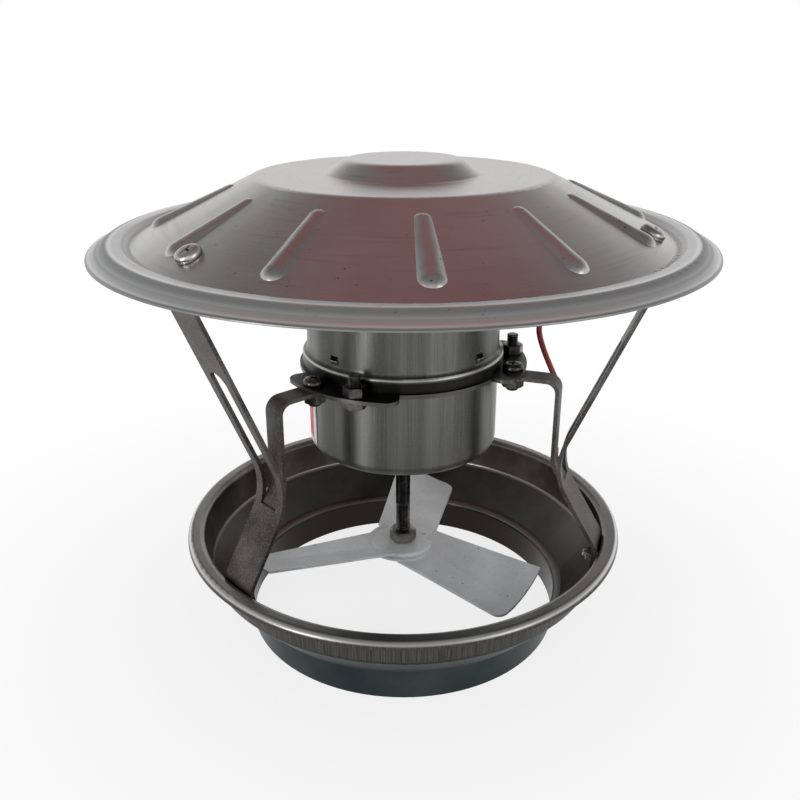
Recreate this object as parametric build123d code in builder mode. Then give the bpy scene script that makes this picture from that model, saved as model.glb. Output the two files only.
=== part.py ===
from build123d import *
import os
from math import asin, atan, cos, degrees, hypot, pi, radians, sin, sqrt, tan

# Chimney draught fan. A ribbed rain cap stands on three lanced legs over a flue collar, and the
# legs' tongues carry a motor with a three-blade impeller on its shaft.
# Millimetres and degrees, +Z up. The origin is the middle of the collar's lower edge.

# Fits that all pieces share
touch = 0.05  # between a curved face and the flat one that seats on it
run_gap = 0.05  # radial, shaft in bush, bush in pocket, core on shaft
hole_gap = 0.3  # radial, screw in sheet
thread_gap = 0.05  # radial, screw in nut
hole_cut = 8.0  # length of the cutter for a screw's hole

# Flue collar
collar_radius = 86.0
collar_height = 17.0
collar_sheet = 0.8
shoulder_radius = 90.0
shoulder_rise = 1.2
wall_foot_radius = 107.5
wall_foot_z = 37.5
wall_top_radius = 109.8
rim_z = 57.0
rim_radius = 118.0
rim_turn_down = 3.6
collar_bends = [1.6, 2.4, 4.0, 2.2, 2.4]

# Rain cap
cap_radius = 150.0
cap_sheet = 0.6
dome_top_radius = 28.0
dome_radius = 37.6
dome_height = 7.0
plateau_z = 242.4
cone_top_radius = 71.5
cone_foot_z = 213.4
bead_width = 13.5
bead_height = 2.7
bead_flank = 3.0
rim_band_width = 5.5
rim_band_drop = 0.2
rim_fall = 2.2
rim_lip = 0.9
dome_bends = [9.0, 3.0]
shoulder_bend = 7.0
bead_bends = [2.0, 3.0, 3.0, 1.4]
rim_bend = 1.0

# Teardrop ribs pressed into the cone
rib_count = 12
rib_angle = 5.0
rib_head_inset = 14.2  # from the cone's foot
rib_tail_inset = 12.4  # from the cone's top
rib_head_ball = 7.3
rib_tail_ball = 5.8
rib_sink = 4.6

# Legs
leg_count = 3
leg_angle = 102.0
leg_sheet = 2.0
leg_width = 22.0
foot_bottom_z = 41.0
foot_top_z = 57.5
waist_radius = 83.2
waist_z = 100.0
tab_inner_reach = 11.0  # from the cap screw's middle
tab_outer_reach = 12.3
foot_bend = 12.0
waist_bend = 30.0
tab_bend = 5.0
slot_width = 12.0
slot_below_waist = 5.0
slot_length = 78.0
tongue_width = 11.4
tongue_radius = 82.6
tongue_tip_radius = 51.5
tongue_root_drop = 17.5  # below the waist
tongue_knee_bend = 14.0
tongue_top_bend = 7.0
tongue_tip_round = 5.2

# Motor shells
motor_sheet = 1.0
flange_z = 146.3
flange_radius = 53.6
lobe_radius = 64.0
lobe_turn = 14.5  # middle of a lobe, past its leg
lobe_half_span = 31.5
lobe_round = 6.0
can_radius = 49.5
can_top_z = 198.0
can_bead_radius = 52.0
can_bead_height = 8.0
can_bead_flank = 1.6
can_corner = 8.0
can_bead_bend = 1.8
cup_radius = 49.2
cup_bottom_z = 102.0
cup_corner = 6.0
vent_count = 4
vent_angle = 48.0
vent_width = 5.0
vent_height = 2.5
vent_z = 160.5

# Fasteners
screw_size = 6.0
nut_across_flats = 10.0
nut_height = 5.0
screw_end = 2.0  # thread that shows past a nut
pan_head_radius = 6.0
pan_head_height = 3.6
pan_head_round = 2.0
cap_screw_inset = 13.0  # from the cone's foot
foot_screw_size = 4.0
foot_screw_z = 48.5
foot_nut_across_flats = 7.0
foot_nut_height = 3.2
foot_head_radius = 4.0
foot_head_height = 2.6
foot_head_round = 1.4
ear_head_radius = 5.3
ear_head_height = 3.3
bolt_circle = 58.0
motor_bolt_turn = 25.0  # past each leg
bolt_head_height = 4.0
bolt_end = 5.5

# Motor inside
stator_gap = 0.1
stator_bottom_z = 134.0
stator_length = 26.0
rotor_radius = 24.0
air_gap = 0.45
slot_count = 12
core_slot_width = 6.0
core_slot_bottom_radius = 40.0
core_tooth_tip = 2.5
winding_gap = 0.3
winding_overhang = 11.0
rotor_bore_radius = 5.0
end_ring_height = 4.0
end_ring_width = 6.0
bush_radius = 11.0
bush_height = 9.0
thrust_washer_radius = 7.0
thrust_washer_sheet = 1.0
end_play = 0.1

# Shaft and impeller
shaft_radius = 4.0
shaft_end_z = 26.0
shaft_hole_radius = 6.5
shaft_chamfer = 0.8
hub_z = 36.5  # underside of the hub plate
blade_sheet = 1.3
hub_radius = 20.5
boss_radius = 19.0
boss_height = 1.4
boss_taper = 40.0
blade_count = 3
blade_angle = 79.0
blade_root_radius = 10.0
blade_tip_radius = 82.0
blade_root_width = 33.0
blade_tip_width = 36.0
blade_root_pitch_angle = 8.0
blade_tip_pitch_angle = 17.5
blade_crease_angle = 3.0
root_crease_offset = 3.0  # from the blade's middle line, towards its higher edge
tip_crease_offset = -8.0
blade_leading_round = 1.5
blade_trailing_round = 6.0
shaft_nut_across_flats = 13.0
shaft_nut_height = 6.5

# Lead with its grommet, coil and plug
lead_radius = 1.5
lead_angle = 8.0
lead_exit_z = 185.5
grommet_radius = 5.0
grommet_neck_radius = 3.4
grommet_flange = 2.0
grommet_tip_radius = 2.5
lead_exit_radius = 56.0
lead_straight = 8.5
arc_share = 0.45  # of a run, at each of its ends
coil_middle = (40.0, 152.0)
coil_turn_radius = 18.0
coil_width = 10.0
coil_height = 9.6
coil_round = 3.6
tie_width = 5.0
tie_sheet = 0.8
tie_gap = 0.4
plug_length = 26.0
plug_width = 17.0
plug_height = 12.0
plug_round = 3.5
plug_tail_length = 16.0
plug_tail_radius = 3.6
plug_tail_taper = 3.0
plug_tail_overlap = 4.0  # of the coil's outer turns
pin_radius = 2.0
pin_length = 16.0
pin_spacing = 9.0


def wall_radius(height):
    """Outer radius of the collar's wall."""
    share = (height - wall_foot_z) / (wall_top_z - wall_foot_z)
    return wall_foot_radius + (wall_top_radius - wall_foot_radius) * share


def foot_radius(height):
    """Outer face of a leg's flat foot, whose two edges seat on the round wall."""
    inner_wall = wall_radius(height) - collar_sheet / cos(wall_tilt)
    return sqrt(inner_wall**2 - (leg_width / 2) ** 2) - touch


def tab_z(radius):
    """Upper face of a leg's flat tab, whose two edges seat on the cone's underside."""
    return cone_foot_z + (cone_foot_radius - radius) * cone_slope - tab_drop / cos(cone_tilt)


def screw(seat, size, length, head_radius, head_height, head_round):
    """Pan-head screw with its head standing on the seat plane."""
    with BuildPart() as piece:
        with BuildSketch(seat):
            Circle(head_radius)
        extrude(amount=head_height)
        top = piece.faces().sort_by(Axis(seat.origin, seat.z_dir))[-1]
        fillet(top.edges(), head_round)
        with BuildSketch(seat):
            Circle(size / 2)
        extrude(amount=-length)
    return piece.part


def hex_nut(seat, size, across_flats, height):
    """Hexagon nut that hangs below the seat plane."""
    with BuildPart() as piece:
        with BuildSketch(seat):
            RegularPolygon(across_flats / 2, 6, major_radius=False)
            Circle(size / 2 + thread_gap, mode=Mode.SUBTRACT)
        extrude(amount=-height)
    return piece.part


def polar_point(radius, angle, height):
    """Point at an angle round the axis."""
    return (radius * cos(radians(angle)), radius * sin(radians(angle)), height)


def one_per_leg(piece, turn=0):
    """Copies of a piece round the axis, one at each leg."""
    with BuildPart() as ring:
        with PolarLocations(0, leg_count, start_angle=leg_angle + turn):
            add(piece)
    return ring.part


# Slopes and seats that several pieces take their places from
cone_foot_radius = cap_radius - rim_band_width - bead_width
cap_screw_radius = cone_foot_radius - cap_screw_inset
tab_end_radius = cap_screw_radius - tab_inner_reach
rib_head_radius = cone_foot_radius - rib_head_inset
rib_tail_radius = cone_top_radius + rib_tail_inset
wall_top_z = rim_z - collar_sheet
wall_tilt = atan((wall_top_radius - wall_foot_radius) / (wall_top_z - wall_foot_z))
cone_slope = (plateau_z - cone_foot_z) / (cone_foot_radius - cone_top_radius)
cone_tilt = atan(cone_slope)
cone_sag = (leg_width / 2) ** 2 * sin(cone_tilt) / 2 / tab_end_radius
tab_drop = cap_sheet + cone_sag + touch
corner_radius = cap_screw_radius + tab_outer_reach
corner_z = tab_z(corner_radius)
arm_tilt = atan((corner_radius - waist_radius) / (corner_z - waist_z))
can_flange_z = flange_z + motor_sheet
flange_top_z = can_flange_z + motor_sheet
screw_hole_radius = screw_size / 2 + hole_gap
foot_hole_radius = foot_screw_size / 2 + hole_gap

cap_seat_z = cone_foot_z + (cone_foot_radius - cap_screw_radius) * cone_slope
cap_seat = Plane(
    origin=(cap_screw_radius, 0, cap_seat_z),
    x_dir=(0, 1, 0),
    z_dir=(sin(cone_tilt), 0, cos(cone_tilt)),
)
foot_seat = Plane(
    origin=(wall_radius(foot_screw_z), 0, foot_screw_z),
    x_dir=(0, 1, 0),
    z_dir=(cos(wall_tilt), 0, -sin(wall_tilt)),
)
foot_drop = (wall_radius(foot_screw_z) - foot_radius(foot_screw_z)) * cos(wall_tilt)
foot_depth = foot_drop + leg_sheet
cap_depth = tab_drop + leg_sheet

pieces = {}

# Flue collar: one profile of constant sheet, turned round the axis, with the foot screws' holes
with BuildPart() as flue_collar:
    with BuildSketch(Plane.XZ):
        with BuildLine():
            FilletPolyline(
                (collar_radius, 0),
                (collar_radius, collar_height),
                (shoulder_radius, collar_height + shoulder_rise),
                (wall_foot_radius, wall_foot_z),
                (wall_top_radius, wall_top_z),
                (rim_radius - collar_sheet, wall_top_z),
                (rim_radius - collar_sheet, rim_z - rim_turn_down),
                radius=collar_bends,
            )
            offset(amount=collar_sheet, side=Side.LEFT)
        make_face()
    revolve(axis=Axis.Z)
    with PolarLocations(0, leg_count, start_angle=leg_angle):
        with Locations(foot_seat.location):
            Cylinder(foot_hole_radius, hole_cut, mode=Mode.SUBTRACT)
pieces["flue_collar"] = flue_collar.part

# Rain cap: the plain sheet first
with BuildPart() as plain_cap:
    bead_end = cone_foot_radius + bead_width
    bead_top_z = cone_foot_z + bead_height
    band_z = cone_foot_z - rim_band_drop
    with BuildSketch(Plane.XZ):
        with BuildLine():
            FilletPolyline(
                (0, plateau_z + dome_height),
                (dome_top_radius, plateau_z + dome_height),
                (dome_radius, plateau_z),
                (cone_top_radius, plateau_z),
                (cone_foot_radius, cone_foot_z),
                (cone_foot_radius + bead_flank, bead_top_z),
                (bead_end - bead_flank, bead_top_z),
                (bead_end, band_z),
                (cap_radius, band_z - rim_fall),
                (cap_radius, band_z - rim_fall - rim_lip),
                radius=[*dome_bends, shoulder_bend, *bead_bends, rim_bend],
            )
            offset(amount=cap_sheet, side=Side.RIGHT)
        make_face()
    revolve(axis=Axis.Z)

# All below the middle of the cone's sheet, to trim the ribs with
with BuildPart() as under_cone:
    sheet_drop = cap_sheet / 2 / cos(cone_tilt)
    with BuildSketch(Plane.XZ):
        with BuildLine():
            Polyline(
                (0, cone_foot_z - 2 * rib_head_ball),
                (cone_foot_radius, cone_foot_z - 2 * rib_head_ball),
                (cone_foot_radius, cone_foot_z - sheet_drop),
                (cone_top_radius, plateau_z - sheet_drop),
                (0, plateau_z - sheet_drop),
                close=True,
            )
        make_face()
    revolve(axis=Axis.Z)


def rib_body(inset):
    """Tapered round-ended body along the cone, whose upper part is one rib."""
    rise = (rib_head_radius - rib_tail_radius) * cone_slope
    length = hypot(rib_head_radius - rib_tail_radius, rise)
    tail_z = cone_foot_z + (cone_foot_radius - rib_tail_radius) * cone_slope
    plane = Plane(
        origin=(
            rib_tail_radius - rib_sink * sin(cone_tilt),
            0,
            tail_z - rib_sink * cos(cone_tilt),
        ),
        x_dir=(cos(cone_tilt), 0, -sin(cone_tilt)),
        z_dir=(0, -1, 0),
    )
    head = rib_head_ball - inset
    tail = rib_tail_ball - inset
    lead = degrees(asin((head - tail) / length))
    with BuildPart() as body:
        with BuildSketch(plane):
            with BuildLine():
                tail_arc = CenterArc((0, 0), tail, 180, lead - 90)
                head_arc = CenterArc((length, 0), head, 90 + lead, -90 - lead)
                Line(tail_arc @ 1, head_arc @ 0)
                Line(head_arc @ 1, tail_arc @ 0)
            make_face()
        revolve(axis=Axis(plane.origin, plane.x_dir))
    return body.part


with BuildPart() as one_rib:
    add(rib_body(0))
    add(under_cone.part, mode=Mode.SUBTRACT)

with BuildPart() as rain_cap:
    add(plain_cap.part)
    with PolarLocations(0, rib_count, start_angle=rib_angle):
        add(one_rib.part)
        add(rib_body(cap_sheet), mode=Mode.SUBTRACT)
    with PolarLocations(0, leg_count, start_angle=leg_angle):
        with Locations(cap_seat.location):
            Cylinder(screw_hole_radius, hole_cut, mode=Mode.SUBTRACT)
pieces["rain_cap"] = rain_cap.part

# One leg, along +X: a strap whose slot is where its tongue was lanced out
with BuildPart() as leg:
    foot_top = (foot_radius(foot_top_z), foot_top_z)
    waist = (waist_radius, waist_z)
    arm = Plane(
        origin=(waist_radius, 0, waist_z),
        x_dir=(sin(arm_tilt), 0, cos(arm_tilt)),
        z_dir=(cos(arm_tilt), 0, -sin(arm_tilt)),
    )
    with BuildSketch(Plane.XZ):
        with BuildLine():
            FilletPolyline(
                (foot_radius(foot_bottom_z), foot_bottom_z),
                foot_top,
                waist,
                (corner_radius, corner_z),
                (tab_end_radius, tab_z(tab_end_radius)),
                radius=[foot_bend, waist_bend, tab_bend],
            )
            offset(amount=leg_sheet, side=Side.LEFT)
        make_face()
    extrude(amount=leg_width / 2, both=True)
    with BuildSketch(arm):
        slot_middle = slot_length / 2 - slot_below_waist
        with Locations((slot_middle - slot_width / 4, 0)):
            Rectangle(slot_length - slot_width / 2, slot_width)
        with Locations((slot_length - slot_below_waist - slot_width / 2, 0)):
            Circle(slot_width / 2)
    extrude(amount=waist_bend / 2, both=True, mode=Mode.SUBTRACT)
    limb_lean = (foot_top[0] - waist_radius) / (waist_z - foot_top_z)
    root_z = waist_z - tongue_root_drop
    with BuildSketch(Plane.XZ):
        with BuildLine():
            FilletPolyline(
                (waist_radius + (waist_z - root_z) * limb_lean, root_z),
                (tongue_radius, waist_z + (waist_radius - tongue_radius) / limb_lean),
                (tongue_radius, flange_z),
                (tongue_tip_radius, flange_z),
                radius=[tongue_knee_bend, tongue_top_bend],
            )
            offset(amount=leg_sheet, side=Side.LEFT)
        make_face()
    extrude(amount=tongue_width / 2, both=True)
    tip_edges = leg.edges().filter_by(Axis.Z).group_by(Axis.X)[0]
    fillet(tip_edges, tongue_tip_round)
    ear_place = Location((bolt_circle, 0, flange_z))
    with Locations(ear_place, cap_seat.offset(-tab_drop).location):
        Cylinder(screw_hole_radius, hole_cut, mode=Mode.SUBTRACT)
    with Locations(foot_seat.offset(-foot_drop).location):
        Cylinder(foot_hole_radius, hole_cut, mode=Mode.SUBTRACT)
leg_names = ["leg_rear", "leg_front_left", "leg_right"]
for index, name in enumerate(leg_names):
    pieces[name] = leg.part.rotate(Axis.Z, leg_angle + index * 360 / leg_count)

# Cap, foot and ear fasteners, one of each at every leg
cap_screw = screw(
    cap_seat.offset(touch),
    screw_size,
    touch + cap_depth + nut_height + screw_end,
    pan_head_radius,
    pan_head_height,
    pan_head_round,
)
pieces["cap_screws"] = one_per_leg(cap_screw)
cap_nut = hex_nut(cap_seat.offset(-cap_depth), screw_size, nut_across_flats, nut_height)
pieces["cap_nuts"] = one_per_leg(cap_nut)

foot_screw = screw(
    foot_seat.offset(touch),
    foot_screw_size,
    touch + foot_depth + foot_nut_height + screw_end,
    foot_head_radius,
    foot_head_height,
    foot_head_round,
)
pieces["foot_screws"] = one_per_leg(foot_screw)
foot_nut_seat = foot_seat.offset(-foot_depth - touch)
foot_nut = hex_nut(foot_nut_seat, foot_screw_size, foot_nut_across_flats, foot_nut_height)
pieces["foot_nuts"] = one_per_leg(foot_nut)

ear_seat = Plane(origin=(bolt_circle, 0, flange_top_z))
ear_depth = 2 * motor_sheet + leg_sheet
ear_screw = screw(
    ear_seat,
    screw_size,
    ear_depth + nut_height + screw_end,
    ear_head_radius,
    ear_head_height,
    pan_head_round,
)
pieces["ear_screws"] = one_per_leg(ear_screw)
ear_nut = hex_nut(ear_seat.offset(-ear_depth), screw_size, nut_across_flats, nut_height)
pieces["ear_nuts"] = one_per_leg(ear_nut)

# Motor bolts: hexagon heads under the flanges, nuts on top
with BuildPart() as motor_bolt:
    with BuildSketch(Plane(origin=(bolt_circle, 0, flange_z))):
        RegularPolygon(nut_across_flats / 2, 6, major_radius=False)
    extrude(amount=-bolt_head_height)
    with BuildSketch(Plane(origin=(bolt_circle, 0, flange_z))):
        Circle(screw_size / 2)
    extrude(amount=2 * motor_sheet + nut_height + bolt_end)
pieces["motor_bolts"] = one_per_leg(motor_bolt.part, motor_bolt_turn)
motor_nut = hex_nut(ear_seat.offset(nut_height), screw_size, nut_across_flats, nut_height)
pieces["motor_nuts"] = one_per_leg(motor_nut, motor_bolt_turn)

# Flange outline that both motor shells share
with BuildSketch() as flange_lobe:
    Circle(lobe_radius)
    lobe_far = 2 * lobe_radius
    lobe_side = lobe_far * tan(radians(lobe_half_span))
    with BuildLine():
        Polyline((0, 0), (lobe_far, -lobe_side), (lobe_far, lobe_side), close=True)
    make_face(mode=Mode.INTERSECT)
    fillet(flange_lobe.vertices().sort_by(Axis.X)[-2:], lobe_round)

with BuildSketch() as flange:
    Circle(flange_radius)
    with PolarLocations(0, leg_count, start_angle=leg_angle + lobe_turn):
        add(flange_lobe.sketch)
    with PolarLocations(bolt_circle, leg_count, start_angle=leg_angle):
        Circle(screw_hole_radius, mode=Mode.SUBTRACT)
    with PolarLocations(bolt_circle, leg_count, start_angle=leg_angle + motor_bolt_turn):
        Circle(screw_hole_radius, mode=Mode.SUBTRACT)

# Upper can: drawn shell with a bead above its flange, a bush pocket and lanced vents
pocket_radius = bush_radius + run_gap
can_roof_z = can_top_z - motor_sheet
with BuildPart() as motor_upper_can:
    with BuildSketch(Plane.XZ):
        with BuildLine():
            bead_z = flange_top_z + can_bead_height
            FilletPolyline(
                (can_bead_radius, can_flange_z),
                (can_bead_radius, bead_z - can_bead_flank),
                (can_radius, bead_z),
                (can_radius, can_top_z),
                (0, can_top_z),
                radius=[can_bead_bend, can_bead_bend, can_corner],
            )
            offset(amount=motor_sheet, side=Side.LEFT)
        make_face()
    revolve(axis=Axis.Z)
    with BuildSketch(Plane.XY.offset(can_flange_z)):
        add(flange.sketch)
        Circle(can_bead_radius - motor_sheet, mode=Mode.SUBTRACT)
    extrude(amount=motor_sheet)
    with BuildSketch(Plane.XY.offset(can_roof_z)):
        Circle(pocket_radius + motor_sheet)
        Circle(pocket_radius, mode=Mode.SUBTRACT)
    extrude(amount=-bush_height)
    with PolarLocations(can_radius, vent_count, start_angle=vent_angle):
        with Locations((0, 0, vent_z)):
            Box(hole_cut, vent_width, vent_height, mode=Mode.SUBTRACT)
    with PolarLocations(can_radius, 1, start_angle=lead_angle):
        with Locations((0, 0, lead_exit_z)):
            Cylinder(
                grommet_neck_radius + run_gap, hole_cut, rotation=(0, 90, 0), mode=Mode.SUBTRACT
            )
pieces["motor_upper_can"] = motor_upper_can.part

# Lower cup, with the shaft's hole and the lower bush pocket
cup_floor_z = cup_bottom_z + motor_sheet
with BuildPart() as motor_lower_cup:
    with BuildSketch(Plane.XZ):
        with BuildLine():
            FilletPolyline(
                (cup_radius, can_flange_z),
                (cup_radius, cup_bottom_z),
                (shaft_hole_radius, cup_bottom_z),
                radius=[cup_corner],
            )
            offset(amount=motor_sheet, side=Side.RIGHT)
        make_face()
    revolve(axis=Axis.Z)
    with BuildSketch(Plane.XY.offset(flange_z)):
        add(flange.sketch)
        Circle(cup_radius - motor_sheet, mode=Mode.SUBTRACT)
    extrude(amount=motor_sheet)
    with BuildSketch(Plane.XY.offset(cup_floor_z)):
        Circle(pocket_radius + motor_sheet)
        Circle(pocket_radius, mode=Mode.SUBTRACT)
    extrude(amount=bush_height)
pieces["motor_lower_cup"] = motor_lower_cup.part

# Stator core with its teeth, and the windings that fill the slots and stand out at both ends
stator_radius = cup_radius - motor_sheet - stator_gap
stator_bore = rotor_radius + air_gap
stator_top_z = stator_bottom_z + stator_length
slot_top_radius = stator_bore + core_tooth_tip
core_slot_depth = core_slot_bottom_radius - slot_top_radius
with BuildPart() as stator_core:
    with BuildSketch(Plane.XY.offset(stator_bottom_z)):
        Circle(stator_radius)
        Circle(stator_bore, mode=Mode.SUBTRACT)
        with PolarLocations(slot_top_radius + core_slot_depth / 2, slot_count):
            Rectangle(core_slot_depth, core_slot_width, mode=Mode.SUBTRACT)
    extrude(amount=stator_length)
pieces["stator_core"] = stator_core.part

with BuildPart() as stator_windings:
    for end_z in (stator_bottom_z - winding_overhang, stator_top_z + winding_gap):
        with BuildSketch(Plane.XY.offset(end_z)):
            Circle(core_slot_bottom_radius - winding_gap)
            Circle(slot_top_radius + winding_gap, mode=Mode.SUBTRACT)
        extrude(amount=winding_overhang - winding_gap)
    with BuildSketch(Plane.XY.offset(stator_bottom_z - winding_gap)):
        with PolarLocations(slot_top_radius + core_slot_depth / 2, slot_count):
            Rectangle(core_slot_depth - 2 * winding_gap, core_slot_width - 2 * winding_gap)
    extrude(amount=stator_length + 2 * winding_gap)
pieces["stator_windings"] = stator_windings.part

# Rotor core with the cage's end rings
with BuildPart() as rotor_core:
    with BuildSketch(Plane.XY.offset(stator_bottom_z)):
        Circle(rotor_radius)
        Circle(rotor_bore_radius + run_gap, mode=Mode.SUBTRACT)
    extrude(amount=stator_length)
    with BuildSketch(Plane.XY.offset(stator_bottom_z - end_ring_height)):
        Circle(rotor_radius)
        Circle(rotor_radius - end_ring_width, mode=Mode.SUBTRACT)
    extrude(amount=stator_length + 2 * end_ring_height)
pieces["rotor_core"] = rotor_core.part

# Bushes, thrust washers and the shaft between them
bush_top_z = cup_floor_z + bush_height
bush_roof_z = can_roof_z - bush_height
shoulder_bottom_z = bush_top_z + end_play + thrust_washer_sheet
shoulder_top_z = bush_roof_z - end_play - thrust_washer_sheet
for name, base_z in (("lower_bearing", cup_floor_z), ("upper_bearing", bush_roof_z)):
    with BuildPart() as bush:
        with BuildSketch(Plane.XY.offset(base_z)):
            Circle(bush_radius)
            Circle(shaft_radius + run_gap, mode=Mode.SUBTRACT)
        extrude(amount=bush_height)
    pieces[name] = bush.part

with BuildPart() as thrust_washers:
    for base_z in (bush_top_z + end_play, shoulder_top_z):
        with BuildSketch(Plane.XY.offset(base_z)):
            Circle(thrust_washer_radius)
            Circle(shaft_radius + run_gap, mode=Mode.SUBTRACT)
        extrude(amount=thrust_washer_sheet)
pieces["thrust_washers"] = thrust_washers.part

with BuildPart() as shaft:
    shaft_top_z = can_roof_z - end_play
    with BuildSketch(Plane.XY.offset(shaft_end_z)):
        Circle(shaft_radius)
    extrude(amount=shaft_top_z - shaft_end_z)
    chamfer(shaft.faces().sort_by(Axis.Z)[0].edges(), shaft_chamfer)
    with BuildSketch(Plane.XY.offset(shoulder_bottom_z)):
        Circle(rotor_bore_radius)
    extrude(amount=shoulder_top_z - shoulder_bottom_z)
pieces["shaft"] = shaft.part

# One blade, along +X: creased sections that twist from hub to tip, trimmed to the stamped outline
hub_top_z = hub_z + blade_sheet


def blade_section(radius, pitch, crease):
    """Sheet seen end on: its far edge is the higher one, creased part of the way across."""
    half = blade_tip_width / 2
    crease_z = tan(radians(pitch)) * crease
    low_z = crease_z - tan(radians(pitch - blade_crease_angle)) * (half + crease)
    high_z = crease_z + tan(radians(pitch + blade_crease_angle)) * (half - crease)
    with BuildSketch(Plane(origin=(radius, 0, hub_z), x_dir=(0, 1, 0), z_dir=(1, 0, 0))) as section:
        with BuildLine():
            under = [(-half, low_z), (crease, crease_z), (half, high_z)]
            over = [(across, up + blade_sheet) for across, up in reversed(under)]
            Polyline(*under, *over, close=True)
        make_face()
    return section.sketch


with BuildPart() as blade:
    add(blade_section(blade_root_radius, blade_root_pitch_angle, root_crease_offset))
    add(blade_section(blade_tip_radius, blade_tip_pitch_angle, tip_crease_offset))
    loft()
    with BuildSketch(Plane.XY.offset(hub_z - blade_tip_width)) as blade_outline:
        with BuildLine():
            root = blade_root_width / 2
            tip = blade_tip_width / 2
            side = sqrt(blade_tip_radius**2 - tip**2)
            high_edge = [(side, tip), (hub_radius, root), (0, root)]
            low_edge = [(across, -along) for across, along in reversed(high_edge)]
            Polyline(*high_edge, *low_edge)
            ThreePointArc((side, -tip), (blade_tip_radius, 0), (side, tip))
        make_face()
        low_corner, *_, high_corner = blade_outline.vertices().sort_by(Axis.Y)
        fillet(low_corner, blade_trailing_round)
        fillet(high_corner, blade_leading_round)
    extrude(amount=2 * blade_tip_width, mode=Mode.INTERSECT)

with BuildPart() as impeller:
    with BuildSketch(Plane.XY.offset(hub_z)):
        Circle(hub_radius)
    extrude(amount=blade_sheet)
    with PolarLocations(0, blade_count, start_angle=blade_angle):
        add(blade.part)
    with BuildSketch(Plane.XY.offset(hub_z)):
        Circle(boss_radius)
    extrude(amount=blade_sheet + boss_height, taper=boss_taper)
    with BuildSketch(Plane.XY.offset(hub_z - blade_tip_width)):
        Circle(shaft_radius + run_gap)
    extrude(amount=2 * blade_tip_width, mode=Mode.SUBTRACT)
pieces["impeller"] = impeller.part

# Nuts that clamp the hub
shaft_size = 2 * shaft_radius
boss_top = Plane.XY.offset(hub_top_z + boss_height + shaft_nut_height)
hub_bottom = Plane.XY.offset(hub_z)
shaft_nut_sizes = (shaft_size, shaft_nut_across_flats, shaft_nut_height)
pieces["impeller_upper_nut"] = hex_nut(boss_top, *shaft_nut_sizes)
pieces["impeller_lower_nut"] = hex_nut(hub_bottom, *shaft_nut_sizes)

# Grommet in the can's wall, with a tapered sleeve round the lead
with BuildPart() as grommet:
    seat_radius = can_radius + touch
    inner_radius = sqrt((can_radius - motor_sheet) ** 2 - grommet_neck_radius**2) - touch
    with BuildSketch(Plane.XZ):
        with BuildLine():
            Polyline(
                (inner_radius, lead_exit_z),
                (inner_radius, lead_exit_z + grommet_neck_radius),
                (seat_radius, lead_exit_z + grommet_neck_radius),
                (seat_radius, lead_exit_z + grommet_radius),
                (seat_radius + grommet_flange, lead_exit_z + grommet_radius),
                (seat_radius + grommet_flange, lead_exit_z + grommet_neck_radius),
                (lead_exit_radius, lead_exit_z + grommet_tip_radius),
                (lead_exit_radius, lead_exit_z),
                close=True,
            )
        make_face()
    revolve(axis=Axis((0, 0, lead_exit_z), (1, 0, 0)))
pieces["cable_grommet"] = grommet.part.rotate(Axis.Z, lead_angle)

# Lead: out of the grommet, down behind the right-hand leg, over the rim and along the floor
lead_points = [
    polar_point(lead_exit_radius, lead_angle, lead_exit_z),
    polar_point(lead_exit_radius + lead_straight, lead_angle, lead_exit_z),
    (71.0, 9.0, 181.2),
    (73.8, 8.2, 173.0),
    (70.2, 5.9, 163.0),
    (73.0, 6.4, 152.6),
    (79.0, 10.0, 138.0),
    (82.5, 12.5, 128.0),
    (85.2, 18.0, 112.0),
    (87.5, 26.0, 97.0),
    (90.0, 35.5, 83.0),
    (92.4, 45.5, 72.0),
    (94.6, 56.0, 65.5),
    (96.8, 67.0, 63.5),
    (98.6, 77.0, 58.5),
    (100.0, 85.0, 48.0),
    (100.5, 91.5, 34.0),
    (100.0, 97.5, 19.0),
    (97.8, 105.0, 7.5),
    (93.0, 115.5, 2.2),
    (87.0, 127.5, 1.5),
    (79.5, 139.5, 1.5),
    (71.0, 150.5, 1.5),
    (61.0, 160.5, 2.2),
    (48.0, 168.0, 4.0),
]


def corner_radii(points):
    """Arc at each corner that takes a set share of its shorter run."""
    radii = []
    for before, corner, after in zip(points, points[1:], points[2:]):
        run_in = Vector(*corner) - Vector(*before)
        run_out = Vector(*after) - Vector(*corner)
        turn = radians(run_in.get_angle(run_out))
        radii.append(arc_share * min(run_in.length, run_out.length) / tan(turn / 2))
    return radii


lead_radii = corner_radii(lead_points)
with BuildPart() as power_lead:
    with BuildLine() as lead_path:
        FilletPolyline(*lead_points, radius=lead_radii)
    lead_wire = lead_path.wire()
    with BuildSketch(Plane(origin=lead_wire @ 0, z_dir=lead_wire % 0)):
        Circle(lead_radius)
    sweep()
pieces["power_lead"] = power_lead.part
lead_filled = power_lead.part.volume / (pi * lead_radius**2 * lead_wire.length)
print("lead radii", [round(radius, 1) for radius in lead_radii])
print("lead length", round(lead_wire.length, 1), "filled share", round(lead_filled, 4))

# Coil of the put-away length, its tie, and the plug that lies beside it
coil_z = tie_sheet + tie_gap + coil_height / 2
coil_plane = Plane(origin=(*coil_middle, coil_z), x_dir=(1, 0, 0), z_dir=(0, -1, 0))
with BuildPart() as lead_coil:
    with BuildSketch(coil_plane):
        with Locations((coil_turn_radius, 0)):
            RectangleRounded(coil_width, coil_height, coil_round)
    revolve(axis=Axis(coil_plane.origin, (0, 0, 1)))
pieces["lead_coil"] = lead_coil.part

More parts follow.
